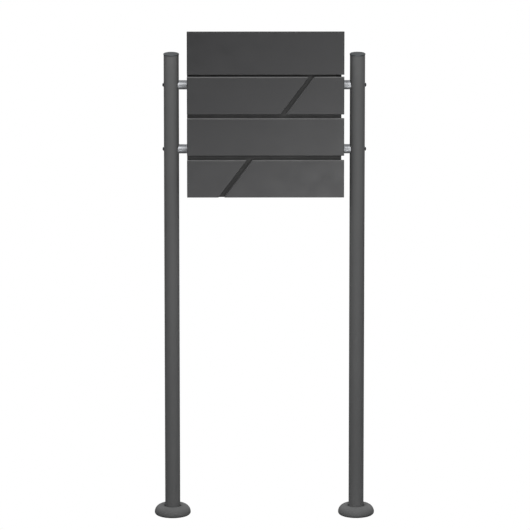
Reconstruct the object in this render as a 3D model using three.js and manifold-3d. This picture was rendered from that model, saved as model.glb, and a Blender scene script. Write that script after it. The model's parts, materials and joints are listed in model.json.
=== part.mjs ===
// A letterbox on two free-standing posts. Its door carries slat-like front strips, and the top strip is
// a flap over the letter slot. Millimetres: X to the right, Y away from the front, Z up from the ground.
import * as THREE from "three";
import { mergeVertices } from "three/addons/utils/BufferGeometryUtils.js";
import Module from "manifold-3d";

const wasm = await Module();
wasm.setup();

// Driving dimensions.
const SHEET = 1.2; // sheet steel of the box, the door and the strips
const GAP = 0.3; // clearance between two pieces that touch
const TOTAL_HEIGHT = 1200;
const DEPTH = 105; // from the strips' faces to the back of the box

const POST = { x: 220.4, radius: 18, wall: 1.5, top: 1133, sides: 28 };
const CAP = { rim: 18.6, height: 3.2, plug: 10 };
const BASE = { radius: 38.5, thickness: 5, holes: 3, holeRadius: 3.5, holeCircle: 30 };
const ROSETTE = { foot: 41, radius: 43.3, belly: 4.5, crest: 22.5, crestRadius: 26, wall: 1.5 };
const ROSETTE_MOUTH = { radius: 18.5, height: 17.5 };
const SPACER = { radius: 11, bore: 8, heights: [1060.2, 904] };
const BOLT = { shank: 2.5, hole: 2.8, headRadius: 4.75, headHeight: 2.8, end: 170.5 };
const NUT = { height: 5, flange: 1.2, flangeRadius: 6, hexRadius: 4.6 };

const BODY = { side: 180, front: -35, back: DEPTH / 2, bottom: 797, top: 1176, flange: 15 };
const COVER_LIP = 8;
const WALL_HOLE = { x: 140, heights: [850, 1150], radius: 3.5 };

const DOOR = { left: -183, right: 182, face: -44.2, depth: 5.6 };
const SLOT = { halfWidth: 160, bottom: 1138, top: 1168 };
const STRIP = { left: -183.2, right: 188.7, face: -DEPTH / 2, depth: 8, bend: 1.5, height: 90.5 };
const FLAP_HEIGHT = 103.4;
const SEAMS = [6, 10.1, 11.4]; // between one strip and the next, from the top
const SLIT = { upper: 77.8, lower: -68.8, halfWidth: 6.7 };
const SLIT_LEAN = 0.74; // sideways travel per height
const STUD = { radius: 2, hole: 2.3, end: -37.5, nutRadius: 4, nutHeight: 3.2 };

const HINGE = { x: -180.4, y: -35.5, heights: [1130, 870], half: 20, knuckle: 2.6, bore: 1.8, pin: 1.5 };
const HINGE_MIDDLE = 6.6; // half the length of the moving knuckle
const HINGE_PLAY = 0.4; // between one knuckle and the next
const HINGE_LEAF = { frame: 23, door: 19 }; // how far each leaf reaches from the pin's side
const FLAP_AXIS = { y: -47.5, z: 1188 };
const FLAP_ROD = { radius: 2, hole: 2.3, left: STRIP.left + 0.2, right: STRIP.right - 0.2 };
const BRACKET = { x: 171, thickness: 1.5, nose: 3.4, foot: 8, bottom: 1152 };
const LOCK = { x: 150, z: 1117, bezel: 9, barrel: 6, plug: 4, front: -48.6, end: -34 };
const LOCK_NUT = { radius: 10, height: 3 };
const KEYWAY = { halfWidth: 0.6, halfHeight: 2.6, depth: 5 };
const CAM = { reach: 24, thickness: 2, width: 11 };
const CAM_SCREW = { shank: 2, hole: 2.3, length: 6, headRadius: 3.6, headHeight: 2.2 };
const BUMPER = { radius: 4.5, neck: 1.7, hole: 2, barb: 2.6 };

const COLOURS = {
  powderCoat: { color: 0x47484a, roughness: 0.62, metalness: 0.0 },
  stainless: { color: 0xb4b6b8, roughness: 0.3, metalness: 1.0 },
  darkSteel: { color: 0x2c2d2f, roughness: 0.45, metalness: 0.8 },
  zinc: { color: 0x9b9ea1, roughness: 0.38, metalness: 1.0 },
  capPlastic: { color: 0x3d3e40, roughness: 0.55, metalness: 0.0 },
  chrome: { color: 0xcfd0d2, roughness: 0.14, metalness: 1.0 },
  rubber: { color: 0x17181a, roughness: 0.9, metalness: 0.0 },
};

// A three.js geometry becomes a solid for cutting and joining, and goes back to a geometry at the end.
function solidOf(geometry) {
  const bare = new THREE.BufferGeometry();
  bare.setAttribute("position", geometry.getAttribute("position"));
  bare.setIndex(geometry.index);
  const merged = mergeVertices(bare, 1e-4);
  const corners = merged.index.array;
  const kept = [];
  for (let i = 0; i < corners.length; i += 3) {
    const [a, b, c] = corners.subarray(i, i + 3);
    if (a !== b && b !== c && a !== c) kept.push(a, b, c);
  }
  const vertProperties = merged.attributes.position.array;
  const triVerts = new Uint32Array(kept);
  return new wasm.Manifold(new wasm.Mesh({ numProp: 3, vertProperties, triVerts }));
}

function geometryOf(solid) {
  const { vertProperties, triVerts } = solid.getMesh();
  const indexed = new THREE.BufferGeometry();
  indexed.setAttribute("position", new THREE.BufferAttribute(vertProperties, 3));
  indexed.setIndex(new THREE.BufferAttribute(triVerts, 1));
  const flat = indexed.toNonIndexed();
  flat.computeVertexNormals();
  return flat;
}

const join = (solids) => solids.reduce((whole, next) => whole.add(next));
const cut = (solid, tools) => tools.reduce((left, tool) => left.subtract(tool), solid);

function block([x0, x1], [y0, y1], [z0, z1]) {
  const geometry = new THREE.BoxGeometry(x1 - x0, y1 - y0, z1 - z0);
  geometry.translate((x0 + x1) / 2, (y0 + y1) / 2, (z0 + z1) / 2);
  return solidOf(geometry);
}

// A round bar along "x", "y" or "z" from start to end, through the point at on the other two axes.
function bar(axis, radius, [start, end], on = [0, 0], sides = 16) {
  const geometry = new THREE.CylinderGeometry(radius, radius, end - start, sides);
  const middle = (start + end) / 2;
  if (axis === "x") geometry.rotateZ(Math.PI / 2).translate(middle, on[0], on[1]);
  if (axis === "y") geometry.translate(on[0], middle, on[1]);
  if (axis === "z") geometry.rotateX(Math.PI / 2).translate(on[0], on[1], middle);
  return solidOf(geometry);
}

// A profile of [radius, height] points, bottom to top on its outside, turned around Z.
function turned(profile, sides = 24) {
  const points = profile.map(([r, h]) => new THREE.Vector2(r, h));
  return solidOf(new THREE.LatheGeometry(points, sides).rotateX(Math.PI / 2));
}

// An outline of [x, z] points, anticlockwise from the front, extruded from back to front along Y.
// inset pulls the outline in, and round eases the edge of the front face.
function panel(outline, back, front, inset = 0, round = 0) {
  const shape = new THREE.Shape(outline.map(([x, z]) => new THREE.Vector2(x, z)));
  const bevel = { bevelSize: round, bevelThickness: round, bevelOffset: -inset - round, bevelSegments: 1 };
  const depth = back - front;
  const geometry = new THREE.ExtrudeGeometry(shape, { depth, bevelEnabled: inset + round > 0, ...bevel });
  geometry.translate(0, 0, -back - round).rotateX(Math.PI / 2);
  const solid = solidOf(geometry);
  if (round === 0) return solid;
  const behind = block([-500, 500], [back, back + 2 * round + 1], [0, TOTAL_HEIGHT + 100]);
  return solid.subtract(behind);
}

// A shallow tray of sheet steel: a face with a rim bent back all round it.
function tray(outline, front, back, round) {
  const shell = panel(outline, back, front, 0, round);
  const hollow = panel(outline, back + 1, front + SHEET, SHEET, Math.max(round - SHEET, 0));
  return shell.subtract(hollow);
}

const rectangle = (left, right, bottom, top) => [
  [left, bottom],
  [right, bottom],
  [right, top],
  [left, top],
];

function piece(name, solid, finish) {
  const mesh = new THREE.Mesh(geometryOf(solid), new THREE.MeshStandardMaterial(COLOURS[finish]));
  mesh.name = name;
  return mesh;
}

// Posts. Each is modelled about its own axis, and its group stands it in place.
function postTube() {
  const span = [BASE.thickness + GAP, POST.top];
  const outside = bar("z", POST.radius, span, [0, 0], POST.sides);
  const inside = bar("z", POST.radius - POST.wall, [0, TOTAL_HEIGHT], [0, 0], POST.sides);
  const holes = SPACER.heights.map((z) => bar("x", BOLT.hole, [-30, 30], [0, z], 12));
  return cut(outside, [inside, ...holes]);
}

function postCap() {
  const seat = POST.top + GAP;
  const plugRadius = POST.radius - POST.wall - GAP;
  return turned(
    [
      [0, seat - CAP.plug],
      [plugRadius, seat - CAP.plug],
      [plugRadius, seat],
      [CAP.rim, seat],
      [CAP.rim, seat + CAP.height - 1.3],
      [CAP.rim - 0.9, seat + CAP.height - 0.4],
      [CAP.rim - 6, seat + CAP.height - 0.1],
      [0, seat + CAP.height],
    ],
    POST.sides,
  );
}

function basePlate() {
  const { radius, thickness, holes, holeRadius, holeCircle } = BASE;
  const edge = [[radius, 0], [radius, thickness - 1], [radius - 1, thickness]];
  const plate = turned([[0, 0], ...edge, [0, thickness]], 28);
  const drills = [];
  for (let i = 0; i < holes; i++) {
    const angle = Math.PI / 2 + (i * 2 * Math.PI) / holes;
    const on = [holeCircle * Math.cos(angle), holeCircle * Math.sin(angle)];
    drills.push(bar("z", holeRadius, [-1, thickness + 1], on, 12));
  }
  return cut(plate, drills);
}

// The skirt widens to a belly, rises as a quarter ellipse, crests, and rolls down to its mouth.
function rosetteOutline(offset) {
  const { radius, belly, crest, crestRadius } = ROSETTE;
  const points = [];
  const outerSteps = 4;
  for (let i = 0; i <= outerSteps; i++) {
    const t = ((Math.PI / 2) * i) / outerSteps;
    const across = (radius - crestRadius - offset) * Math.cos(t);
    points.push([crestRadius + across, belly + (crest - belly - offset) * Math.sin(t)]);
  }
  const innerSteps = 2;
  for (let i = 1; i <= innerSteps; i++) {
    const t = ((Math.PI / 2) * i) / innerSteps;
    const drop = (crest - ROSETTE_MOUTH.height) * (1 - Math.cos(t));
    points.push([crestRadius - (crestRadius - ROSETTE_MOUTH.radius) * Math.sin(t), crest - offset - drop]);
  }
  return points;
}

function baseRosette() {
  const { foot, wall } = ROSETTE;
  const outside = rosetteOutline(0);
  const inside = rosetteOutline(wall).reverse();
  const start = [foot - wall, 0];
  return turned([start, [foot, 0], ...outside, ...inside, start], 28);
}

// Spacers, bolts and nuts are modelled for the right side: out from the box's side wall towards the post.
function spacer() {
  const sleeve = bar("x", SPACER.radius, [BODY.side + GAP, POST.x], [0, 0], 20);
  const bore = bar("x", SPACER.bore, [BODY.side - 1, POST.x + 1], [0, 0], 16);
  const saddle = bar("z", POST.radius + 2 * GAP, [-30, 30], [POST.x, 0], POST.sides);
  return cut(sleeve, [bore, saddle]);
}

function bolt() {
  const seat = POST.x + POST.radius + GAP;
  const { shank, headRadius, headHeight, end } = BOLT;
  const profile = [
    [0, end],
    [shank - 0.5, end],
    [shank, end + 0.5],
    [shank, seat],
    [headRadius, seat],
    [headRadius, seat + 0.6],
    [headRadius * 0.72, seat + headHeight * 0.8],
    [headRadius * 0.4, seat + headHeight],
    [0, seat + headHeight],
  ];
  const points = profile.map(([r, h]) => new THREE.Vector2(r, h));
  const body = solidOf(new THREE.LatheGeometry(points, 12).rotateZ(-Math.PI / 2));
  const socket = new THREE.CylinderGeometry(1.7, 1.7, 3, 6).rotateZ(Math.PI / 2);
  socket.translate(seat + headHeight, 0, 0);
  return body.subtract(solidOf(socket));
}

function flangeNut() {
  const seat = BODY.side - SHEET - GAP;
  const hex = new THREE.CylinderGeometry(NUT.hexRadius, NUT.hexRadius, NUT.height, 6).rotateZ(Math.PI / 2);
  hex.translate(seat - NUT.height / 2, 0, 0);
  const flange = bar("x", NUT.flangeRadius, [seat - NUT.flange, seat], [0, 0], 16);
  return cut(join([solidOf(hex), flange]), [bar("x", BOLT.hole, [seat - 10, seat + 1], [0, 0], 12)]);
}

// The box: a wrapped sheet for the back and sides, and a cover at each end.
function bodyWrap() {
  const { side, front, back, bottom, top, flange } = BODY;
  const outline = [
    [-side + flange, front],
    [-side, front],
    [-side, back],
    [side, back],
    [side, front],
    [side - flange, front],
    [side - flange, front + SHEET],
    [side - SHEET, front + SHEET],
    [side - SHEET, back - SHEET],
    [-side + SHEET, back - SHEET],
    [-side + SHEET, front + SHEET],
    [-side + flange, front + SHEET],
  ];
  const shape = new THREE.Shape(outline.map(([x, y]) => new THREE.Vector2(x, y)));
  const height = top - bottom - 2 * (SHEET + GAP);
  const sheet = new THREE.ExtrudeGeometry(shape, { depth: height, bevelEnabled: false });
  sheet.translate(0, 0, bottom + SHEET + GAP);
  const boltHoles = SPACER.heights.map((z) => bar("x", BOLT.hole, [-side - 5, side + 5], [0, z], 12));
  const wallHoles = WALL_HOLE.heights.flatMap((z) =>
    [-WALL_HOLE.x, WALL_HOLE.x].map((x) => bar("y", WALL_HOLE.radius, [back - 5, back + 5], [x, z], 12)),
  );
  const notchBack = HINGE.y + HINGE.knuckle + 0.5;
  const notches = HINGE.heights.map((z) =>
    block([-side - 5, -side + 6], [front - 5, notchBack], [z - HINGE.half - 1, z + HINGE.half + 2]),
  );
  const through = [front - 2, front + SHEET + 2];
  const bumperHoles = doorBumperPlaces().map((on) => bar("y", BUMPER.hole, through, on, 12));
  return cut(solidOf(sheet), [...boltHoles, ...wallHoles, ...notches, ...bumperHoles]);
}

// A cover is a plate over the wrap's end, with a lip inside each wall.
function bodyCover(upwards) {
  const { side, front, back, bottom, top } = BODY;
  const inner = side - SHEET - GAP;
  const rear = back - SHEET - GAP;
  const lead = front + SHEET + GAP;
  const plate = block([-side, side], [front, back], [top - SHEET, top]);
  const rim = block([-inner, inner], [lead, rear], [top - SHEET - COVER_LIP, top - SHEET / 2]);
  const inside = [-inner + SHEET, inner - SHEET];
  const room = block(inside, [lead + SHEET, rear - SHEET], [top - 2 * COVER_LIP, top - SHEET]);
  const cover = join([plate, rim]).subtract(room);
  return upwards ? cover : cover.mirror([0, 0, 1]).translate([0, 0, top + bottom]);
}

const doorBumperPlaces = () => [[BODY.side - 7, 1070], [BODY.side - 7, 930]];

// A bumper along Y: a head that a panel rests on, and a barbed neck through the sheet behind it.
function bumper(tip, sheetFront) {
  const head = bar("y", BUMPER.radius, [tip, sheetFront - GAP], [0, 0], 10);
  const neck = bar("y", BUMPER.neck, [sheetFront - 1, sheetFront + SHEET + 1], [0, 0], 8);
  const barb = bar("y", BUMPER.barb, [sheetFront + SHEET + GAP, sheetFront + SHEET + 1.5], [0, 0], 8);
  return join([head, neck, barb]);
}

// The [bottom, top] of each strip, from the flap down.
function stripLevels() {
  const levels = [[TOTAL_HEIGHT - FLAP_HEIGHT, TOTAL_HEIGHT]];
  for (const seam of SEAMS) {
    const top = levels[levels.length - 1][0] - seam;
    levels.push([top - STRIP.height, top]);
  }
  return levels;
}

const [FLAP_LEVEL, SECOND_LEVEL, THIRD_LEVEL, FOURTH_LEVEL] = stripLevels();
const middleOf = ([bottom, top]) => (bottom + top) / 2;

// Welded studs of each fixed strip, as [x, z].
const STUDS = {
  strip_2_left: [[-140, middleOf(SECOND_LEVEL)], [15, middleOf(SECOND_LEVEL)]],
  strip_2_right: [[105, middleOf(SECOND_LEVEL) - 12], [160, middleOf(SECOND_LEVEL)]],
  strip_3: [[-125, middleOf(THIRD_LEVEL)], [125, middleOf(THIRD_LEVEL)]],
  strip_4_left: [[-155, middleOf(FOURTH_LEVEL) + 5], [-110, middleOf(FOURTH_LEVEL) + 5]],
  strip_4_right: [[-20, middleOf(FOURTH_LEVEL) + 5], [140, middleOf(FOURTH_LEVEL) + 5]],
};

// The part of a strip on one side of its leaning slit.
function leaningOutline([bottom, top], slitX, keepLeft) {
  const run = (SLIT_LEAN * (top - bottom)) / 2;
  const edge = slitX + (keepLeft ? -SLIT.halfWidth : SLIT.halfWidth);
  if (keepLeft) return [[STRIP.left, bottom], [edge - run, bottom], [edge + run, top], [STRIP.left, top]];
  return [[edge - run, bottom], [STRIP.right, bottom], [STRIP.right, top], [edge + run, top]];
}

function fixedStrip(outline, studs) {
  const sheet = tray(outline, STRIP.face, STRIP.face + STRIP.depth, STRIP.bend);
  const pins = studs.map((on) => bar("y", STUD.radius, [STRIP.face + SHEET / 2, STUD.end], on, 12));
  return join([sheet, ...pins]);
}

function studNut() {
  const start = DOOR.face + SHEET + GAP;
  const hex = new THREE.CylinderGeometry(STUD.nutRadius, STUD.nutRadius, STUD.nutHeight, 6);
  hex.translate(0, start + STUD.nutHeight / 2, 0);
  return solidOf(hex).subtract(bar("y", STUD.hole, [start - 1, start + 10], [0, 0], 12));
}

const flapBumperPlaces = () => [[-160, 1106], [167, 1106]];

function doorPlate() {
  const { left, right, face, depth } = DOOR;
  const sheet = tray(rectangle(left, right, BODY.bottom, BODY.top), face, face + depth, 0);
  const through = [face - 1, face + SHEET + 1];
  const slot = block([-SLOT.halfWidth, SLOT.halfWidth], through, [SLOT.bottom, SLOT.top]);
  const barrelHole = bar("y", LOCK.barrel + GAP, through, [LOCK.x, LOCK.z], 20);
  const studHoles = Object.values(STUDS).flat().map((on) => bar("y", STUD.hole, through, on, 12));
  const bumperHoles = flapBumperPlaces().map((on) => bar("y", BUMPER.hole, through, on, 12));
  return cut(sheet, [slot, barrelHole, ...studHoles, ...bumperHoles]);
}

function flap() {
  const outline = rectangle(STRIP.left, STRIP.right, ...FLAP_LEVEL);
  const sheet = tray(outline, STRIP.face, STRIP.face + STRIP.depth, STRIP.bend);
  const axis = [FLAP_AXIS.y, FLAP_AXIS.z];
  return sheet.subtract(bar("x", FLAP_ROD.hole, [STRIP.left - 5, STRIP.right + 5], axis, 16));
}

// A bracket on the door's face: a foot against the sheet and an ear with a round nose about the rod.
function flapBracket() {
  const { thickness, nose, foot, bottom } = BRACKET;
  const back = DOOR.face - GAP;
  const web = [0, thickness];
  const ear = join([
    bar("x", nose, web, [FLAP_AXIS.y, FLAP_AXIS.z], 20),
    block(web, [FLAP_AXIS.y - nose, back], [bottom, FLAP_AXIS.z]),
    block(web, [FLAP_AXIS.y, back], [FLAP_AXIS.z - 1, FLAP_AXIS.z + nose * 0.6]),
    block([0, foot], [back - SHEET, back], [bottom, BODY.top - 3]),
  ]);
  return ear.subtract(bar("x", FLAP_ROD.hole, [-1, thickness + 1], [FLAP_AXIS.y, FLAP_AXIS.z], 16));
}

// Butt hinges, modelled about their pin with Z = 0 at the middle. The middle knuckle belongs to the door.
function hingeFrameLeaf() {
  const { knuckle, bore, half } = HINGE;
  const inner = -BODY.side + SHEET + GAP - HINGE.x;
  const knuckles = [
    bar("z", knuckle, [-half, -HINGE_MIDDLE - HINGE_PLAY], [0, 0], 14),
    bar("z", knuckle, [HINGE_MIDDLE + HINGE_PLAY, half], [0, 0], 14),
  ];
  const leaf = block([inner, inner + 1], [knuckle / 2, HINGE_LEAF.frame], [-half, half]);
  const middle = [-HINGE_MIDDLE - HINGE_PLAY, HINGE_MIDDLE + HINGE_PLAY];
  const window = block([inner - 1, inner + 2], [-knuckle, knuckle + 0.6], middle);
  return cut(join([...knuckles, leaf]), [window, bar("z", bore, [-30, 30], [0, 0], 12)]);
}

function hingeDoorLeaf() {
  const { knuckle, bore, half } = HINGE;
  const sheetBack = DOOR.face + SHEET + GAP - HINGE.y;
  const left = DOOR.left + SHEET + GAP - HINGE.x;
  const web = block([left, left + SHEET], [sheetBack, -bore - 0.2], [-HINGE_MIDDLE, HINGE_MIDDLE]);
  const leaf = block([left, left + HINGE_LEAF.door], [sheetBack, sheetBack + SHEET], [-half, half]);
  const middle = bar("z", knuckle, [-HINGE_MIDDLE, HINGE_MIDDLE], [0, 0], 14);
  return join([web, leaf, middle]).subtract(bar("z", bore, [-30, 30], [0, 0], 12));
}

function hingePin() {
  const { pin, half, knuckle } = HINGE;
  const shaft = bar("z", pin, [-half - 1, half + 1], [0, 0], 16);
  return join([shaft, bar("z", knuckle - 0.3, [half + GAP, half + 1.3], [0, 0], 16)]);
}

// The lock, modelled along Y about its own axis.
function lockHousing() {
  const { bezel, barrel, plug, front, end } = LOCK;
  const flangeBack = DOOR.face - GAP;
  const flange = bar("y", bezel, [front + 0.8, flangeBack], [0, 0], 20);
  const step = bar("y", bezel - 0.8, [front, front + 1], [0, 0], 20);
  const sleeve = bar("y", barrel, [front + 1, end], [0, 0], 20);
  return join([flange, step, sleeve]).subtract(bar("y", plug + GAP, [front - 1, end + 1], [0, 0], 20));
}

function lockNut() {
  const start = DOOR.face + SHEET + GAP;
  const { radius, height } = LOCK_NUT;
  const hex = new THREE.CylinderGeometry(radius, radius, height, 6).translate(0, start + height / 2, 0);
  const bore = bar("y", LOCK.barrel + GAP, [start - 1, start + height + 1], [0, 0], 20);
  return solidOf(hex).subtract(bore);
}

function lockPlug() {
  const { plug, front, end } = LOCK;
  const { halfWidth, halfHeight, depth } = KEYWAY;
  const body = bar("y", plug, [front - 0.4, end + GAP], [0, 0], 20);
  const keyway = block([-halfWidth, halfWidth], [front - 1, front + depth], [-halfHeight, halfHeight]);
  return cut(body, [keyway, bar("y", CAM_SCREW.hole, [end - 5, end + 1], [0, 0], 14)]);
}

// The cam hangs down from the lock's axis at rest, which leaves the door free.
function lockCam() {
  const near = LOCK.end + 2 * GAP;
  const along = [near, near + CAM.thickness];
  const hub = bar("y", CAM.width / 2, along, [0, 0], 20);
  const arm = block([-CAM.width / 2, CAM.width / 2], along, [-CAM.reach, 0]);
  return join([hub, arm]).subtract(bar("y", CAM_SCREW.hole, [near - 1, near + 5], [0, 0], 14));
}

function camScrew() {
  const { shank: shankRadius, length, headRadius, headHeight } = CAM_SCREW;
  const headStart = LOCK.end + 3 * GAP + CAM.thickness;
  const shank = bar("y", shankRadius, [headStart - length, headStart + 1], [0, 0], 12);
  const head = bar("y", headRadius, [headStart, headStart + headHeight], [0, 0], 16);
  const slot = block([-0.5, 0.5], [headStart + headHeight / 2, headStart + headHeight + 1], [-5, 5]);
  return join([shank, head]).subtract(slot);
}

// The assembly.
const letterbox = new THREE.Group();

function placed(mesh, x, y, z, parent = letterbox) {
  mesh.position.set(x, y, z);
  parent.add(mesh);
}

for (const [side, sign] of [["left", -1], ["right", 1]]) {
  const post = new THREE.Group();
  post.position.x = sign * POST.x;
  post.add(piece(`${side}_post_tube`, postTube(), "powderCoat"));
  post.add(piece(`${side}_post_cap`, postCap(), "capPlastic"));
  post.add(piece(`${side}_base_plate`, basePlate(), "powderCoat"));
  post.add(piece(`${side}_base_rosette`, baseRosette(), "powderCoat"));
  letterbox.add(post);

  const fasteners = new THREE.Group();
  if (sign < 0) fasteners.rotation.z = Math.PI;
  letterbox.add(fasteners);
  for (const [level, z] of [["upper", SPACER.heights[0]], ["lower", SPACER.heights[1]]]) {
    placed(piece(`${level}_${side}_spacer`, spacer(), "stainless"), 0, 0, z, fasteners);
    placed(piece(`${level}_${side}_bolt`, bolt(), "darkSteel"), 0, 0, z, fasteners);
    placed(piece(`${level}_${side}_nut`, flangeNut(), "zinc"), 0, 0, z, fasteners);
  }
}

letterbox.add(piece("body_wrap", bodyWrap(), "powderCoat"));
letterbox.add(piece("top_cover", bodyCover(true), "powderCoat"));
letterbox.add(piece("bottom_cover", bodyCover(false), "powderCoat"));
const doorBumperTip = DOOR.face + SHEET + GAP;
doorBumperPlaces().forEach(([x, z], i) => {
  placed(piece(`door_bumper_${i + 1}`, bumper(doorBumperTip, BODY.front), "rubber"), x, 0, z);
});

const door = new THREE.Group();
letterbox.add(door);
door.add(piece("door_plate", doorPlate(), "powderCoat"));
const stripOutlines = {
  strip_2_left: leaningOutline(SECOND_LEVEL, SLIT.upper, true),
  strip_2_right: leaningOutline(SECOND_LEVEL, SLIT.upper, false),
  strip_3: rectangle(STRIP.left, STRIP.right, ...THIRD_LEVEL),
  strip_4_left: leaningOutline(FOURTH_LEVEL, SLIT.lower, true),
  strip_4_right: leaningOutline(FOURTH_LEVEL, SLIT.lower, false),
};
for (const [name, outline] of Object.entries(stripOutlines)) {
  door.add(piece(name, fixedStrip(outline, STUDS[name]), "powderCoat"));
  STUDS[name].forEach(([x, z], i) => {
    placed(piece(`${name}_nut_${i + 1}`, studNut(), "zinc"), x, 0, z, door);
  });
}
flapBumperPlaces().forEach(([x, z], i) => {
  const tip = STRIP.face + SHEET + GAP;
  placed(piece(`flap_bumper_${i + 1}`, bumper(tip, DOOR.face), "rubber"), x, 0, z, door);
});

HINGE.heights.forEach((z, i) => {
  const level = i === 0 ? "upper" : "lower";
  const hinge = new THREE.Group();
  hinge.position.set(HINGE.x, HINGE.y, z);
  hinge.add(piece(`${level}_hinge_frame_leaf`, hingeFrameLeaf(), "zinc"));
  hinge.add(piece(`${level}_hinge_door_leaf`, hingeDoorLeaf(), "zinc"));
  hinge.add(piece(`${level}_hinge_pin`, hingePin(), "zinc"));
  letterbox.add(hinge);
});

placed(piece("left_flap_bracket", flapBracket(), "zinc"), -BRACKET.x - BRACKET.thickness, 0, 0, door);
placed(piece("right_flap_bracket", flapBracket(), "zinc"), BRACKET.x, 0, 0, door);
const rodSpan = [FLAP_ROD.left, FLAP_ROD.right];
const rod = bar("x", FLAP_ROD.radius, rodSpan, [FLAP_AXIS.y, FLAP_AXIS.z], 16);
door.add(piece("flap_hinge_rod", rod, "zinc"));
door.add(piece("flap", flap(), "powderCoat"));

const lock = new THREE.Group();
lock.position.set(LOCK.x, 0, LOCK.z);
lock.add(piece("lock_housing", lockHousing(), "chrome"));
lock.add(piece("lock_nut", lockNut(), "zinc"));
lock.add(piece("lock_plug", lockPlug(), "chrome"));
lock.add(piece("lock_cam", lockCam(), "zinc"));
lock.add(piece("cam_screw", camScrew(), "zinc"));
door.add(lock);

export default letterbox;
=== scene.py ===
import json
import math

import bmesh
import bpy
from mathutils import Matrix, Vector

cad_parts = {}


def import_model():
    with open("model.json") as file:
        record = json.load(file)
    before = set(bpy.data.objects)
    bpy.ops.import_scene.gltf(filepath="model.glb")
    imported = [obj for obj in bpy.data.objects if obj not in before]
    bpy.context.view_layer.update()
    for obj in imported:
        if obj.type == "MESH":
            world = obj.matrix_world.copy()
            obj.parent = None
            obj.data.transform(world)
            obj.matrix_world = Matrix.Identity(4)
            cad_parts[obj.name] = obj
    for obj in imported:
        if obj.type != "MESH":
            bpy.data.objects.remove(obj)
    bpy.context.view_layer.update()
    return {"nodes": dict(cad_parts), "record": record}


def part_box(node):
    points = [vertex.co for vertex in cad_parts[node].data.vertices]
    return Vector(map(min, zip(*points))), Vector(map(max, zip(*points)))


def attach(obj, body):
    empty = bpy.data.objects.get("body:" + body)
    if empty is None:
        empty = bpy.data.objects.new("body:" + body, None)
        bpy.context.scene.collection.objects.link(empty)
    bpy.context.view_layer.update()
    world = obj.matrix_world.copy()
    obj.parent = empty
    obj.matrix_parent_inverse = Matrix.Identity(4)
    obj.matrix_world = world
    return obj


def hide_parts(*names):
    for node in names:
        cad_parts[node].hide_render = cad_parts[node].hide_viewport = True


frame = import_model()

RECORD = frame["record"]
BODY_OF = {node: body for body, nodes in RECORD["behaviour"]["bodies"].items() for node in nodes}
SLOT_OF = {row["node"]: row["material_slot"] for row in RECORD["subparts"]}
SIDES = ("left", "right")
LEVELS = ("upper", "lower")
MM = 0.001
TURN = 2 * math.pi

# Camera: it aims at the middle of the posts' plane, from a little above and left of square on.
CAMERA_AIM = Vector((0.0015, 0.0, 0.6184))
CAMERA_DISTANCE = 16.816
CAMERA_AZIMUTH = math.radians(-0.165)
CAMERA_ELEVATION = math.radians(15.0)
CAMERA_LENS = 479.2

# Sizes that the CAD solids don't say by their boxes. Bends, holes and circles are radii.
SHEET = 1.2 * MM
BEND = 1.5 * MM
FLAP_BEND = 1.25 * MM
STRIP_RIM = 8 * MM
TUBE_WALL = 1.5 * MM
BOLT_HOLE = 2.8 * MM
NUT_BORE = 2.3 * MM
ROD_HOLE = 2.3 * MM
SPACER_BORE = 8 * MM
POST_GAP_RADIUS = 18.4 * MM    # a post's 18 mm and the 0.4 mm that a spacer's end stays clear of it
ANCHOR_HOLE = 3.5 * MM
ANCHOR_CIRCLE = 30 * MM

# An edge that turns by more than this many degrees stays sharp in the shading.
CRISP_ANGLE = 35
ROUND_ANGLE = 50    # the same, for pieces that are round all over

# The rounding on the edges of the CAD nodes that stay.
EASE = 0.35 * MM
FINE_EASE = 0.2 * MM


# Shapes: a shape is (vertices, faces), made of rings of points joined one to the next.
AXES = {
    "x": lambda u, v, h: (h, u, v),
    "y": lambda u, v, h: (v, h, u),
    "z": lambda u, v, h: (u, v, h),
}


def loft(rings, closed=False):
    """Rings of points joined in turn. A ring of one point is a pole."""
    vertices, faces, starts = [], [], []
    for points in rings:
        starts.append((len(vertices), len(points)))
        vertices += points
    pairs = list(zip(starts, starts[1:]))
    if closed:
        pairs.append((starts[-1], starts[0]))
    for (low, low_count), (high, high_count) in pairs:
        for i in range(max(low_count, high_count)):
            j = (i + 1) % max(low_count, high_count)
            if low_count == 1:
                faces.append((low, high + j, high + i))
            elif high_count == 1:
                faces.append((low + i, low + j, high))
            else:
                faces.append((low + i, low + j, high + j, high + i))
    return vertices, faces


def joined(shapes):
    """Several shapes as one."""
    vertices, faces = [], []
    for more_vertices, more_faces in shapes:
        start = len(vertices)
        vertices += more_vertices
        faces += [tuple(start + i for i in face) for face in more_faces]
    return vertices, faces


def ring(radius, height, axis, origin, sides):
    """A ring about an axis. radius is a number, or a function of the angle."""
    if radius == 0:
        angles = [0.0]
    else:
        angles = [TURN * i / sides for i in range(sides)]
    points = []
    for angle in angles:
        r = radius(angle) if callable(radius) else radius
        x, y, z = AXES[axis](r * math.cos(angle), r * math.sin(angle), height)
        points.append((x + origin[0], y + origin[1], z + origin[2]))
    return points


def turned(profile, axis, origin, sides=64, closed=False):
    """A profile of (radius, height) pairs turned about an axis through origin."""
    return loft([ring(r, h, axis, origin, sides) for r, h in profile], closed)


def hexagon(apothem, limit=1.0):
    """The radius of a hexagon with its corners cut at limit, as a function of the angle."""

    def radius(angle):
        offset = (angle + TURN / 12) % (TURN / 6) - TURN / 12
        return min(apothem / math.cos(offset), limit)

    return radius


def arc(centre, radius, start, end, steps):
    """Points on an arc, as pairs. Angles are in degrees."""
    points = []
    for i in range(steps + 1):
        angle = math.radians(start + (end - start) * i / steps)
        points.append((centre[0] + radius * math.cos(angle), centre[1] + radius * math.sin(angle)))
    return points


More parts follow.
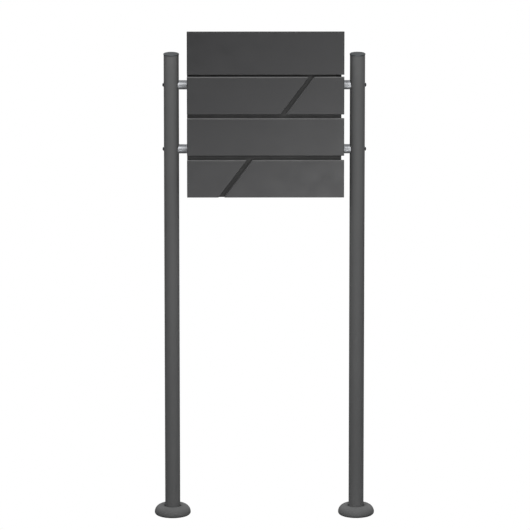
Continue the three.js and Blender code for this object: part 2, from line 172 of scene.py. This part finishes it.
def thread(radius, start, end, pitch, depth):
    """A profile of thread crests and roots from start to end."""
    turns = max(1, round(abs(end - start) / pitch))
    points = []
    for i in range(turns):
        low = start + (end - start) * i / turns
        high = start + (end - start) * (i + 1) / turns
        points += [(radius - depth, low), (radius, (2 * low + high) / 3), (radius, (low + 2 * high) / 3)]
    return points + [(radius - depth, end)]


def rounded_outline(corners, inset, radius, steps):
    """A convex outline of (x, z) corners pulled in by inset, with its corners rounded."""
    points = []
    count = len(corners)
    for i in range(count):
        here = Vector(corners[i])
        before = (here - Vector(corners[i - 1])).normalized()
        after = (Vector(corners[(i + 1) % count]) - here).normalized()
        inward_before = Vector((-before.y, before.x))
        inward_after = Vector((-after.y, after.x))
        mitre = (inward_before + inward_after) / (1 + inward_before.dot(inward_after))
        centre = here + mitre * (inset + radius)
        for k in range(steps + 1):
            inward = inward_before.lerp(inward_after, k / steps).normalized()
            points.append(centre - inward * radius)
    return points


def bent_tray(corners, face, depth, bend):
    """A sheet-metal tray: a face at y = face with a rim bent back round a true radius."""
    steps = 5
    inner_bend = bend - SHEET
    edge = 0.2 * MM
    outer = [(0, depth - edge)] + arc((bend, bend), bend, 180, 270, steps)
    inner = arc((bend, bend), inner_bend, 270, 180, steps) + [(SHEET, depth - edge)]
    section = inner + [(SHEET - edge, depth), (edge, depth)] + outer
    corner_radius = 0.9 * MM
    rings = []
    for inset, back in section:
        radius = max(corner_radius - inset, 0.25 * MM)
        outline = rounded_outline(corners, inset, radius, 4)
        rings.append([(p.x, face + back, p.y) for p in outline])
    vertices, faces = loft(rings)
    count = len(rings[0])
    last = len(rings) * count
    faces.append(tuple(range(count)))
    faces.append(tuple(range(last - count, last)))
    return vertices, faces


def piece(name, shape, material, node, smooth=CRISP_ANGLE):
    """A fine mesh that is shown in a CAD node's stead, and rides on its body."""
    mesh = bpy.data.meshes.new(name)
    vertices, faces = shape
    mesh.from_pydata(vertices, [], faces)
    work = bmesh.new()
    work.from_mesh(mesh)
    bmesh.ops.recalc_face_normals(work, faces=work.faces)
    work.to_mesh(mesh)
    work.free()
    mesh.materials.append(material)
    soften(mesh, smooth)
    obj = bpy.data.objects.new(name, mesh)
    bpy.context.scene.collection.objects.link(obj)
    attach(obj, BODY_OF[node])
    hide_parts(node)
    return obj


def soften(mesh, angle):
    """Smooth shading, with edges sharper than the angle kept crisp."""
    mesh.shade_smooth()
    mesh.set_sharp_from_angle(angle=math.radians(angle))


def drill(obj, radius, axis, origin, span, sides):
    """Cuts a round hole through a piece, from span[0] to span[1] along the axis."""
    vertices, faces = turned([(0, span[0]), (radius, span[0]), (radius, span[1]), (0, span[1])],
                             axis, origin, sides)
    mesh = bpy.data.meshes.new("cutter")
    mesh.from_pydata(vertices, [], faces)
    cutter = bpy.data.objects.new("cutter", mesh)
    bpy.context.scene.collection.objects.link(cutter)
    hole = obj.modifiers.new("hole", "BOOLEAN")
    hole.operation = "DIFFERENCE"
    hole.solver = "EXACT"
    hole.object = cutter
    bpy.context.view_layer.update()
    graph = bpy.context.evaluated_depsgraph_get()
    cut = bpy.data.meshes.new_from_object(obj.evaluated_get(graph))
    obj.modifiers.remove(hole)
    bpy.data.objects.remove(cutter)
    bpy.data.meshes.remove(mesh)
    old = obj.data
    obj.data = cut
    bpy.data.meshes.remove(old)


def weighted(obj):
    """Keeps flat faces flat in the shading beside their rounded edges."""
    fix = obj.modifiers.new("weighted_normals", "WEIGHTED_NORMAL")
    fix.keep_sharp = True


# Materials. Object coordinates are metres in the object's own frame.
class Nodes:
    """A material's node tree, with short calls for the nodes that the finishes share."""

    def __init__(self, name):
        self.material = bpy.data.materials.new(name)
        self.material.use_nodes = True
        self.tree = self.material.node_tree
        self.shader = self.tree.nodes["Principled BSDF"]
        self.place = self.add("ShaderNodeTexCoord").outputs["Object"]

    def add(self, kind, **settings):
        node = self.tree.nodes.new(kind)
        for key, value in settings.items():
            setattr(node, key, value)
        return node

    def link(self, source, target):
        self.tree.links.new(source, target)

    def stretched(self, scale):
        """The object coordinates, scaled by a factor along each axis."""
        mapping = self.add("ShaderNodeMapping")
        self.link(self.place, mapping.inputs["Vector"])
        mapping.inputs["Scale"].default_value = scale
        return mapping.outputs["Vector"]

    def noise(self, scale, detail=3.0, roughness=0.55, vector=None):
        node = self.add("ShaderNodeTexNoise")
        self.link(vector or self.place, node.inputs["Vector"])
        node.inputs["Scale"].default_value = scale
        node.inputs["Detail"].default_value = detail
        node.inputs["Roughness"].default_value = roughness
        return node.outputs["Fac"]

    def ranged(self, value, low, high, start=0.3, end=0.7):
        """value from start..end carried to low..high."""
        node = self.add("ShaderNodeMapRange")
        self.link(value, node.inputs["Value"])
        for key, number in zip(("From Min", "From Max", "To Min", "To Max"), (start, end, low, high)):
            node.inputs[key].default_value = number
        return node.outputs["Result"]

    def combined(self, operation, a, b):
        node = self.add("ShaderNodeMath", operation=operation)
        self.link(a, node.inputs[0])
        self.link(b, node.inputs[1])
        return node.outputs[0]

    def times(self, a, b):
        return self.combined("MULTIPLY", a, b)

    def mixed(self, factor, first, second):
        """A mix of two colours. Each is a linear colour or a socket."""
        node = self.add("ShaderNodeMix", data_type="RGBA")
        self.link(factor, node.inputs["Factor"])
        for socket, colour in zip((node.inputs[6], node.inputs[7]), (first, second)):
            if isinstance(colour, tuple):
                socket.default_value = (*colour, 1.0)
            else:
                self.link(colour, socket)
        return node.outputs[2]

    def edges(self, low, high):
        """0 on flats, 1 on outward edges."""
        pointiness = self.add("ShaderNodeNewGeometry").outputs["Pointiness"]
        return self.ranged(pointiness, 0.0, 1.0, low, high)

    def upward(self, low, high):
        """0 on upright faces, 1 where a face looks up."""
        split = self.add("ShaderNodeSeparateXYZ")
        self.link(self.add("ShaderNodeNewGeometry").outputs["Normal"], split.inputs[0])
        return self.ranged(split.outputs["Z"], 0.0, 1.0, low, high)

    def bump(self, height, strength, distance, under=None):
        node = self.add("ShaderNodeBump")
        node.inputs["Strength"].default_value = strength
        node.inputs["Distance"].default_value = distance
        self.link(height, node.inputs["Height"])
        if under:
            self.link(under, node.inputs["Normal"])
        return node.outputs["Normal"]

    def finish(self, colour, roughness, normal, **fixed):
        self.link(colour, self.shader.inputs["Base Color"])
        self.link(roughness, self.shader.inputs["Roughness"])
        self.link(normal, self.shader.inputs["Normal"])
        for key, value in fixed.items():
            self.shader.inputs[key.replace("_", " ")].default_value = value
        return self.material


def shade(colour, factor):
    return tuple(channel * factor for channel in colour)


def powder_coat(name, colour, roughness, top_highlight=0.0, specular=0.5):
    """Fine-texture powder coat: a tight grain over a soft orange peel, rubbed paler at the edges.
    Given a top highlight grey, what faces up is painted paler towards it, a painted highlight for the light
    from above on the top bends, and is made rougher there."""
    n = Nodes(name)
    cloud = n.noise(7.0, 4.0)
    speckle = n.noise(1500.0, 2.0)
    body = n.mixed(n.ranged(cloud, 0.0, 1.0), shade(colour, 0.93), shade(colour, 1.08))
    grained = n.mixed(n.ranged(speckle, 0.0, 0.35), body, shade(colour, 1.45))
    rubbed = n.times(n.edges(0.53, 0.62), n.ranged(n.noise(60.0), 0.1, 0.5))
    worn = n.mixed(rubbed, grained, shade(colour, 2.1))
    dulled = n.ranged(n.noise(28.0, 5.0), roughness - 0.05, roughness + 0.05)
    if top_highlight:
        # Painted highlight: faces that look up, the strips' top bends above all, turn paler towards the
        # given grey, for light that falls on them from above.
        top_highlight_mask = n.times(n.upward(0.1, 0.75), n.ranged(n.noise(35.0), 0.75, 1.0))
        worn = n.mixed(top_highlight_mask, worn, (top_highlight, top_highlight, top_highlight))
        dulled = n.combined("ADD", dulled, n.times(top_highlight_mask, n.ranged(n.noise(50.0), 0.4, 0.5)))
    peel = n.bump(n.noise(240.0, 2.0), 0.25, 0.00006)
    grain = n.bump(n.noise(1300.0, 2.0), 0.35, 0.00005, peel)
    return n.finish(worn, dulled, grain, Specular_IOR_Level=specular)


def turned_steel(name, colour, roughness):
    """Stainless steel with fine turning marks round its X axis."""
    n = Nodes(name)
    marks = n.noise(1.0, 4.0, 0.7, n.stretched((5200.0, 60.0, 60.0)))
    cloud = n.noise(90.0)
    body = n.mixed(n.ranged(marks, 0.0, 1.0), shade(colour, 0.82), shade(colour, 1.08))
    tinted = n.mixed(n.ranged(cloud, 0.0, 0.3), body, shade(colour, 0.75))
    rough = n.ranged(marks, roughness - 0.06, roughness + 0.08)
    normal = n.bump(marks, 0.3, 0.00003)
    return n.finish(tinted, rough, normal, Metallic=1.0, Anisotropic=0.3)


def plated_steel(name, colour, roughness, mottle):
    """Plated or blackened steel, mottled, with small handling marks."""
    n = Nodes(name)
    spangle = n.noise(420.0, 3.0, 0.6)
    cloud = n.noise(60.0, 4.0)
    body = n.mixed(n.ranged(spangle, 0.0, 1.0), shade(colour, 1 - mottle), shade(colour, 1 + mottle))
    stained = n.mixed(n.ranged(cloud, 0.0, 0.4), body, shade(colour, 0.6))
    bright = n.times(n.edges(0.53, 0.6), n.ranged(n.noise(150.0), 0.2, 0.7))
    worn = n.mixed(bright, stained, shade(colour, 1.5))
    rough = n.ranged(cloud, roughness - 0.06, roughness + 0.1)
    normal = n.bump(n.noise(900.0, 3.0), 0.25, 0.00004)
    return n.finish(worn, rough, normal, Metallic=1.0)


def moulded(name, colour, roughness, grain_scale):
    """Moulded plastic or rubber with a light grain and a little dust."""
    n = Nodes(name)
    cloud = n.noise(45.0, 4.0)
    body = n.mixed(n.ranged(cloud, 0.0, 1.0), shade(colour, 0.88), shade(colour, 1.15))
    dusty = n.mixed(n.ranged(n.noise(700.0, 2.0), 0.0, 0.25), body, shade(colour, 1.9))
    rough = n.ranged(n.noise(120.0), roughness - 0.06, roughness + 0.06)
    normal = n.bump(n.noise(grain_scale, 2.0), 0.3, 0.00005)
    return n.finish(dusty, rough, normal, Specular_IOR_Level=0.45)


# Painted highlight: the strip coat's upward faces, its top bends, turn paler towards 0.125 grey; the flap
# coat's grey is its own colour, so it shows none.
FLAP_COAT = powder_coat("flap_coat", (0.008, 0.008, 0.0087), 0.42, top_highlight=0.008)
STRIP_COAT = powder_coat("strip_coat", (0.009, 0.009, 0.0097), 0.42, top_highlight=0.125)
POST_COAT = powder_coat("post_coat", (0.09, 0.091, 0.091), 0.7, specular=0.2)
BOX_COAT = powder_coat("box_coat", (0.05, 0.05, 0.052), 0.5)
# Painted shade: the door plate shows only deep in the seams between the strips, so it gets a coat far
# darker than the box's for the shade there.
DOOR_SHADE_COAT = powder_coat("door_shade_coat", (0.007, 0.007, 0.0069), 0.68)
CAP_PLASTIC = moulded("cap_plastic", (0.036, 0.04, 0.042), 0.5, 900.0)
STAINLESS = turned_steel("stainless", (0.41, 0.42, 0.435), 0.57)
DARK_STEEL = plated_steel("dark_steel", (0.055, 0.056, 0.062), 0.4, 0.25)
ZINC = plated_steel("zinc", (0.42, 0.43, 0.45), 0.34, 0.16)
NICKEL = plated_steel("nickel", (0.62, 0.61, 0.6), 0.16, 0.06)
RUBBER = moulded("rubber", (0.012, 0.012, 0.0125), 0.8, 1400.0)


# Pieces.
def middle(node):
    low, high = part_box(node)
    return (low + high) / 2


def post_tube(side):
    node = f"{side}_post_tube"
    low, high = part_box(node)
    centre = middle(node)
    outer = (high.x - low.x) / 2
    inner = outer - TUBE_WALL
    edge = 0.3 * MM
    profile = [(outer - edge, low.z), (outer, low.z + edge)]
    profile += [(outer, low.z + (high.z - low.z) * i / 6) for i in range(1, 6)]
    profile += [(outer, high.z - edge), (outer - edge, high.z), (inner, high.z), (inner, low.z)]
    shape = turned(profile, "z", (centre.x, centre.y, 0), 96, closed=True)
    tube = piece(f"fine_{node}", shape, POST_COAT, node)
    for level in LEVELS:
        bolt = middle(f"{level}_{side}_bolt")
        drill(tube, BOLT_HOLE, "x", (centre.x, 0, bolt.z), (-30 * MM, 30 * MM), 24)
    soften(tube.data, CRISP_ANGLE)


def post_cap(side):
    """A plug with a rim that overhangs the tube and a low crown."""
    node = f"{side}_post_cap"
    low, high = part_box(node)
    centre = middle(node)
    rim = (high.x - low.x) / 2
    plug = rim - 2.4 * MM
    seat = low.z + 10 * MM
    round_over = 0.9 * MM
    crown_edge = high.z - 0.3 * MM
    profile = [(0, low.z), (plug - 0.6 * MM, low.z), (plug, low.z + 0.6 * MM), (plug, seat)]
    profile += [(rim - 0.4 * MM, seat), (rim, seat + 0.4 * MM)]
    profile += arc((rim - round_over, crown_edge - round_over), round_over, 0, 90, 6)
    crown = rim - round_over
    profile += [(crown * (1 - i / 6), crown_edge + 0.3 * MM * (1 - (1 - i / 6) ** 2)) for i in range(1, 7)]
    shape = turned(profile, "z", (centre.x, centre.y, 0), 96)
    piece(f"fine_{node}", shape, CAP_PLASTIC, node)


def base_plate(side):
    node = f"{side}_base_plate"
    low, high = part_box(node)
    centre = middle(node)
    radius = (high.x - low.x) / 2
    top = high.z
    profile = [(0, 0), (radius - 0.3 * MM, 0), (radius, 0.3 * MM)]
    profile += arc((radius - 1 * MM, top - 1 * MM), 1 * MM, 0, 90, 4) + [(0, top)]
    plate = piece(f"fine_{node}", turned(profile, "z", (centre.x, centre.y, 0), 72), POST_COAT, node)
    for i in range(3):
        angle = TURN / 4 + TURN * i / 3
        on = (centre.x + ANCHOR_CIRCLE * math.cos(angle), centre.y + ANCHOR_CIRCLE * math.sin(angle), 0)
        drill(plate, ANCHOR_HOLE, "z", on, (-1 * MM, top + 1 * MM), 24)
    soften(plate.data, CRISP_ANGLE)


def base_rosette(side):
    """A spun skirt: it widens from its foot to a belly, crests, and rolls down to its mouth."""
    node = f"{side}_base_rosette"
    low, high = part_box(node)
    centre = middle(node)
    radius = (high.x - low.x) / 2
    crest = high.z
    foot, belly = radius - 2.3 * MM, 4.5 * MM
    crest_radius, mouth_radius, mouth_drop = 26 * MM, 18.5 * MM, 5 * MM
    lip = 0.4 * MM

    def skin(offset):
        points = []
        for i in range(1, 7):
            t = TURN / 4 * i / 6
            points.append((foot + (radius - foot) * math.sin(t) - offset, belly * i / 6))
        for i in range(1, 17):
            t = TURN / 4 * i / 16
            across = (radius - crest_radius - offset) * math.cos(t)
            points.append((crest_radius + across, belly + (crest - belly - offset) * math.sin(t)))
        for i in range(1, 9):
            t = TURN / 4 * i / 8
            across = (crest_radius - mouth_radius) * math.sin(t)
            points.append((crest_radius - across, crest - offset - mouth_drop * (1 - math.cos(t))))
        return points

    profile = [(foot - TUBE_WALL, 0), (foot - lip, 0)] + skin(0) + skin(TUBE_WALL)[::-1]
    shape = turned(profile, "z", (centre.x, centre.y, 0), 128, closed=True)
    piece(f"fine_{node}", shape, POST_COAT, node, ROUND_ANGLE)


def spacer(level, side):
    """A tube with one flat end and one end cut to the post's round."""
    node = f"{level}_{side}_spacer"
    low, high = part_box(node)
    centre = middle(node)
    sign = -1 if side == "left" else 1
    outer = (high.z - low.z) / 2
    post_x = middle(f"{side}_post_tube").x
    flat = low.x if sign > 0 else high.x
    sides = 64
    ease = 0.5 * MM

    def circle(radius):
        angles = [TURN * i / sides for i in range(sides)]
        return [(radius * math.cos(angle), radius * math.sin(angle)) for angle in angles]

    def end_ring(radius, back):
        points = []
        for y, z in circle(radius):
            reach = math.sqrt(POST_GAP_RADIUS**2 - y**2) + back
            points.append((post_x - sign * reach, y, centre.z + z))
        return points

    def flat_ring(radius, back):
        return [(flat + sign * back, y, centre.z + z) for y, z in circle(radius)]

    rings = [flat_ring(SPACER_BORE, 0), flat_ring(outer - ease, 0), flat_ring(outer, ease)]
    rings += [end_ring(outer, ease), end_ring(outer - ease, 0), end_ring(SPACER_BORE, 0)]
    piece(f"fine_{node}", loft(rings, closed=True), STAINLESS, node)


def bolt(level, side):
    """A button-head bolt along X: domed head with a hexagon socket, and a thread at its inner end."""
    node = f"{level}_{side}_bolt"
    low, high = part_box(node)
    centre = middle(node)
    sign = -1 if side == "left" else 1
    length = high.x - low.x
    inner_end = low.x if sign > 0 else high.x
    shank, head, head_height = 2.5 * MM, 4.75 * MM, 2.8 * MM
    seat = length - head_height
    socket, floor = 1.5 * MM, length - 1.7 * MM
    profile = [(0, 0), (shank - 0.6 * MM, 0)]
    profile += thread(shank, 0.6 * MM, 16 * MM, 0.8 * MM, 0.4 * MM)
    profile += [(shank, 16.5 * MM), (shank, seat), (head - 0.3 * MM, seat), (head, seat + 0.4 * MM)]
    profile += [(head * math.cos(t), seat + 0.4 * MM + 2.4 * MM * math.sin(t))
                for t in (0.25, 0.5, 0.75, 1.0)]
    profile += [(2.2 * MM, length), (hexagon(socket), length - 0.15 * MM), (hexagon(socket), floor)]
    profile += [(0, floor - 0.4 * MM)]
    along = [(r, inner_end + sign * h) for r, h in profile]
    piece(f"fine_{node}", turned(along, "x", (0, centre.y, centre.z), 48), DARK_STEEL, node)


def hex_nut(node, axis, bore, apothem, start, end, flange=None):
    """A chamfered nut from start to end along the axis, with a flange at its end if one is given."""
    centre = middle(node)
    corner = apothem / math.cos(TURN / 12)
    sign = 1 if end > start else -1
    chamfer = 0.5 * MM * sign
    profile = [(bore, start), (apothem * 0.97, start), (hexagon(apothem, corner), start + chamfer)]
    if flange:
        radius, height = flange
        brim = end - height * sign
        profile += [(hexagon(apothem, corner), brim - chamfer), (radius * 0.93, brim)]
        profile += [(radius, brim + chamfer), (radius, end)]
    else:
        profile += [(hexagon(apothem, corner), end - chamfer), (apothem * 0.97, end)]
    profile += [(bore, end)]
    crest = 0.25 * MM
    profile += [(bore - crest * (i % 2), end + (start - end) * i / 8) for i in range(1, 8)]
    origin = [centre.x, centre.y, centre.z]
    origin["xyz".index(axis)] = 0
    piece(f"fine_{node}", turned(profile, axis, origin, 48, closed=True), ZINC, node)


def flange_nut(level, side):
    node = f"{level}_{side}_nut"
    low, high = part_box(node)
    start, end = (low.x, high.x) if side == "right" else (high.x, low.x)
    hex_nut(node, "x", BOLT_HOLE, 4.0 * MM, start, end, (6 * MM, 1.2 * MM))


def stud_nut(node):
    low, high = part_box(node)
    hex_nut(node, "y", NUT_BORE, 3.5 * MM, high.y, low.y)


def bumper(node):
    """A soft stop: a domed head in front of the sheet, and a barbed neck through it."""
    low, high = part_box(node)
    centre = middle(node)
    radius = (high.z - low.z) / 2
    seat = high.y - 3.0 * MM
    neck, barb = 1.7 * MM, 2.5 * MM
    profile = [(0, low.y), (radius * 0.55, low.y + 0.05 * MM), (radius * 0.85, low.y + 0.6 * MM)]
    profile += [(radius, low.y + 1.6 * MM), (radius, seat - 0.5 * MM), (radius - 0.5 * MM, seat)]
    profile += [(neck, seat), (neck, high.y - 1.2 * MM), (barb, high.y - 1.2 * MM)]
    profile += [(barb * 0.8, high.y - 0.4 * MM), (barb * 0.4, high.y), (0, high.y)]
    piece(f"fine_{node}", turned(profile, "y", (centre.x, 0, centre.z), 40), RUBBER, node, ROUND_ANGLE)


def strip_corners(node):
    """The (x, z) corners of a strip's face, from the CAD mesh: its extremes at the top and bottom."""
    low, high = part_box(node)
    near = 0.01 * MM
    rim = [v.co for v in frame["nodes"][node].data.vertices if v.co.y < low.y + STRIP_RIM + 0.5 * MM]
    bottom = [p.x for p in rim if p.z < low.z + near]
    top = [p.x for p in rim if p.z > high.z - near]
    return [(min(bottom), low.z), (max(bottom), low.z), (max(top), high.z), (min(top), high.z)]


def fixed_strip(node):
    """A bent strip with the welded studs that hold it to the door."""
    low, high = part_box(node)
    shapes = [bent_tray(strip_corners(node), low.y, STRIP_RIM, BEND)]
    weld, inside = low.y + SHEET * 0.7, low.y + SHEET
    for i in (1, 2):
        at = middle(f"{node}_nut_{i}")
        profile = [(0, weld), (3.2 * MM, weld), (2.6 * MM, inside + 0.5 * MM)]
        profile += thread(2 * MM, inside + 1.2 * MM, high.y - 0.4 * MM, 0.7 * MM, 0.3 * MM)
        profile += [(1.4 * MM, high.y), (0, high.y)]
        shapes.append(turned(profile, "y", (at.x, 0, at.z), 24))
    weighted(piece(f"fine_{node}", joined(shapes), STRIP_COAT, node))


def flap():
    low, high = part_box("flap")
    corners = [(low.x, low.z), (high.x, low.z), (high.x, high.z), (low.x, high.z)]
    obj = piece("fine_flap", bent_tray(corners, low.y, high.y - low.y, FLAP_BEND), FLAP_COAT, "flap")
    rod = middle("flap_hinge_rod")
    drill(obj, ROD_HOLE, "x", (0, rod.y, rod.z), (low.x - 10 * MM, high.x + 10 * MM), 32)
    soften(obj.data, CRISP_ANGLE)
    weighted(obj)


def flap_rod():
    """The flap's hinge rod, with its ends eased and a groove near each."""
    node = "flap_hinge_rod"
    low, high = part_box(node)
    centre = middle(node)
    radius, ease, groove = 2 * MM, 0.4 * MM, 0.35 * MM
    profile = [(0, low.x), (radius - ease, low.x), (radius, low.x + ease)]
    for start in (low.x + 3 * MM, high.x - 3.9 * MM):
        end = start + 0.9 * MM
        profile += [(radius, start), (radius - groove, start), (radius - groove, end), (radius, end)]
    profile += [(radius, high.x - ease), (radius - ease, high.x), (0, high.x)]
    piece(f"fine_{node}", turned(profile, "x", (0, centre.y, centre.z), 32), ZINC, node)


def hinge_pin(level):
    node = f"{level}_hinge_pin"
    low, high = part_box(node)
    centre = middle(node)
    radius, head = 1.5 * MM, 2.3 * MM
    shoulder = high.z - 1 * MM
    profile = [(0, low.z), (radius - 0.4 * MM, low.z), (radius, low.z + 0.4 * MM), (radius, shoulder)]
    profile += [(head, shoulder), (head, shoulder + 0.5 * MM), (head * 0.7, high.z - 0.1 * MM), (0, high.z)]
    piece(f"fine_{node}", turned(profile, "z", (centre.x, centre.y, 0), 32), ZINC, node)


def lock_housing():
    node = "lock_housing"
    low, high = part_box(node)
    centre = middle(node)
    bezel = (high.x - low.x) / 2
    barrel, bore = 6 * MM, 4.3 * MM
    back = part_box("door_plate")[0].y - 0.3 * MM
    profile = [(bore, low.y + 0.3 * MM), (bore + 0.3 * MM, low.y), (bezel - 2.2 * MM, low.y)]
    profile += [(bezel - 2 * MM, low.y + 0.25 * MM)]
    profile += arc((bezel - 1.2 * MM, low.y + 1.45 * MM), 1.2 * MM, 270, 360, 5)
    profile += [(bezel, back - 0.2 * MM), (bezel - 0.2 * MM, back), (barrel, back)]
    profile += thread(barrel, back + 0.8 * MM, high.y - 0.5 * MM, 1.0 * MM, 0.45 * MM)
    profile += [(barrel - 0.8 * MM, high.y), (bore, high.y)]
    shape = turned(profile, "y", (centre.x, 0, centre.z), 64, closed=True)
    piece(f"fine_{node}", shape, NICKEL, node)


# The finish for each material slot of the CAD nodes that stay.
CAD_FINISH = {"powder_coat": BOX_COAT, "zinc": ZINC, "chrome": NICKEL}


def dressed(node, width=EASE, finish=None):
    """A CAD node that stays: flat faces merged, edges eased, and the slot's finish on it."""
    obj = frame["nodes"][node]
    obj.data.materials.clear()
    obj.data.materials.append(finish or CAD_FINISH[SLOT_OF[node]])
    merge = obj.modifiers.new("merge_flats", "DECIMATE")
    merge.decimate_type = "DISSOLVE"
    merge.angle_limit = math.radians(1)
    ease = obj.modifiers.new("ease_edges", "BEVEL")
    ease.width = width
    ease.segments = 2
    ease.limit_method = "ANGLE"
    ease.angle_limit = math.radians(CRISP_ANGLE)
    soften(obj.data, CRISP_ANGLE)
    weighted(obj)


def build():
    for side in SIDES:
        post_tube(side)
        post_cap(side)
        base_plate(side)
        base_rosette(side)
        for level in LEVELS:
            spacer(level, side)
            bolt(level, side)
            flange_nut(level, side)
    strips = [node for node in BODY_OF if node.startswith("strip_") and "_nut_" not in node]
    for node in strips:
        fixed_strip(node)
        for i in (1, 2):
            stud_nut(f"{node}_nut_{i}")
    for i in (1, 2):
        bumper(f"door_bumper_{i}")
        bumper(f"flap_bumper_{i}")
    flap()
    flap_rod()
    lock_housing()
    for level in LEVELS:
        hinge_pin(level)
        dressed(f"{level}_hinge_frame_leaf", FINE_EASE)
        dressed(f"{level}_hinge_door_leaf", FINE_EASE)
    for side in SIDES:
        dressed(f"{side}_flap_bracket", FINE_EASE)
    for node in ("body_wrap", "top_cover", "bottom_cover"):
        dressed(node)
    # Painted shade: the door plate's darker coat stands for the shade in the seams.
    dressed("door_plate", finish=DOOR_SHADE_COAT)
    for node in ("lock_nut", "lock_plug", "lock_cam", "cam_screw"):
        dressed(node, FINE_EASE)


# The studio.
def floor():
    """A floor that is plain white to the camera, and a dull grey to the light that falls on it."""
    mesh = bpy.data.meshes.new("floor")
    reach = 30.0
    mesh.from_pydata([(-reach, -reach, 0), (reach, -reach, 0), (reach, reach, 0), (-reach, reach, 0)],
                     [], [(0, 1, 2, 3)])
    n = Nodes("floor")
    n.shader.inputs["Roughness"].default_value = 0.9
    n.shader.inputs["Specular IOR Level"].default_value = 0.1
    n.link(n.mixed(n.noise(3.0), (0.14, 0.14, 0.14), (0.15, 0.15, 0.15)), n.shader.inputs["Base Color"])
    glow = n.add("ShaderNodeEmission")
    seen = n.add("ShaderNodeLightPath").outputs["Is Camera Ray"]
    mix = n.add("ShaderNodeMixShader")
    n.link(seen, mix.inputs["Fac"])
    n.link(n.shader.outputs["BSDF"], mix.inputs[1])
    n.link(glow.outputs["Emission"], mix.inputs[2])
    n.link(mix.outputs["Shader"], n.tree.nodes["Material Output"].inputs["Surface"])
    mesh.materials.append(n.material)
    obj = bpy.data.objects.new("floor", mesh)
    bpy.context.scene.collection.objects.link(obj)


# How bright the room is, as (sine of the height angle, level).
ROOM_LEVELS = ((-1.0, 0.02), (0.0, 0.04), (0.15, 0.18), (0.45, 0.5), (0.75, 1.05), (1.0, 1.05))


def world():
    """White to the camera. What it lights and what shows in gloss is a room that is bright overhead."""
    made = bpy.data.worlds.new("studio")
    made.use_nodes = True
    tree = made.node_tree
    tree.nodes.clear()
    height = tree.nodes.new("ShaderNodeSeparateXYZ")
    tree.links.new(tree.nodes.new("ShaderNodeTexCoord").outputs["Generated"], height.inputs[0])
    upright = tree.nodes.new("ShaderNodeMapRange")
    upright.inputs["From Min"].default_value = -1.0
    tree.links.new(height.outputs["Z"], upright.inputs["Value"])
    ramp = tree.nodes.new("ShaderNodeValToRGB")
    tree.links.new(upright.outputs["Result"], ramp.inputs["Fac"])
    for at, _ in ROOM_LEVELS[1:-1]:
        ramp.color_ramp.elements.new((at + 1) / 2)
    for element, (at, level) in zip(ramp.color_ramp.elements, ROOM_LEVELS):
        element.position = (at + 1) / 2
        element.color = (level, level, level * 1.01, 1)
    room = tree.nodes.new("ShaderNodeBackground")
    tree.links.new(ramp.outputs["Color"], room.inputs["Color"])
    white = tree.nodes.new("ShaderNodeBackground")
    white.inputs["Color"].default_value = (1, 1, 1, 1)
    mix = tree.nodes.new("ShaderNodeMixShader")
    seen = tree.nodes.new("ShaderNodeLightPath").outputs["Is Camera Ray"]
    tree.links.new(seen, mix.inputs["Fac"])
    tree.links.new(room.outputs["Background"], mix.inputs[1])
    tree.links.new(white.outputs["Background"], mix.inputs[2])
    out = tree.nodes.new("ShaderNodeOutputWorld")
    tree.links.new(mix.outputs["Shader"], out.inputs["Surface"])
    bpy.context.scene.world = made


def softbox(name, place, aim, size, watts, gloss_only=False):
    """A panel of light. A gloss-only one is a card that just shows in the sheen of the coats."""
    data = bpy.data.lights.new(name, "AREA")
    data.shape = "RECTANGLE"
    data.size, data.size_y = size
    data.energy = watts
    obj = bpy.data.objects.new(name, data)
    obj.location = place
    obj.rotation_euler = (Vector(aim) - Vector(place)).to_track_quat("-Z", "Y").to_euler()
    obj.visible_camera = False
    obj.visible_diffuse = not gloss_only
    bpy.context.scene.collection.objects.link(obj)


# Each panel's place, the point it faces, its size in metres and its watts.
LIGHTS = {
    "front": ((0, -1.7, 2.4), (0, 0, 1.0), (2.0, 1.2), 48),
    "back_left": ((-2.2, 2.8, 2.2), (0, 0, 0.8), (1.6, 1.6), 30),
    "back_right": ((2.4, 2.4, 1.8), (0, 0, 0.7), (1.4, 1.6), 24),
}
GLOSS_CARDS = {
    "card_front": ((0.0, -1.3, 0.12), (0, 0, 0.8), (2.0, 0.9), 16.5),
    "card_right": ((0.9, -1.6, 0.5), (0.1, 0, 0.9), (1.4, 1.2), 8),
    "card_near": ((0.5, -1.05, 0.4), (0.1, 0, 0.85), (1.0, 0.8), 3.3),
}


def lights():
    for name, (place, aim, size, watts) in LIGHTS.items():
        softbox(name, place, aim, size, watts)
    for name, (place, aim, size, watts) in GLOSS_CARDS.items():
        softbox(name, place, aim, size, watts, gloss_only=True)


def camera():
    data = bpy.data.cameras.new("camera")
    data.lens = CAMERA_LENS
    data.sensor_width = 36.0
    data.clip_start, data.clip_end = 0.1, 200.0
    obj = bpy.data.objects.new("camera", data)
    across = math.cos(CAMERA_ELEVATION)
    back = Vector((math.sin(CAMERA_AZIMUTH) * across, -math.cos(CAMERA_AZIMUTH) * across,
                   math.sin(CAMERA_ELEVATION)))
    obj.location = CAMERA_AIM + back * CAMERA_DISTANCE
    obj.rotation_euler = (-back).to_track_quat("-Z", "Y").to_euler()
    bpy.context.scene.collection.objects.link(obj)
    bpy.context.scene.camera = obj


build()
floor()
world()
lights()
camera()
bpy.context.scene.view_settings.view_transform = "Standard"
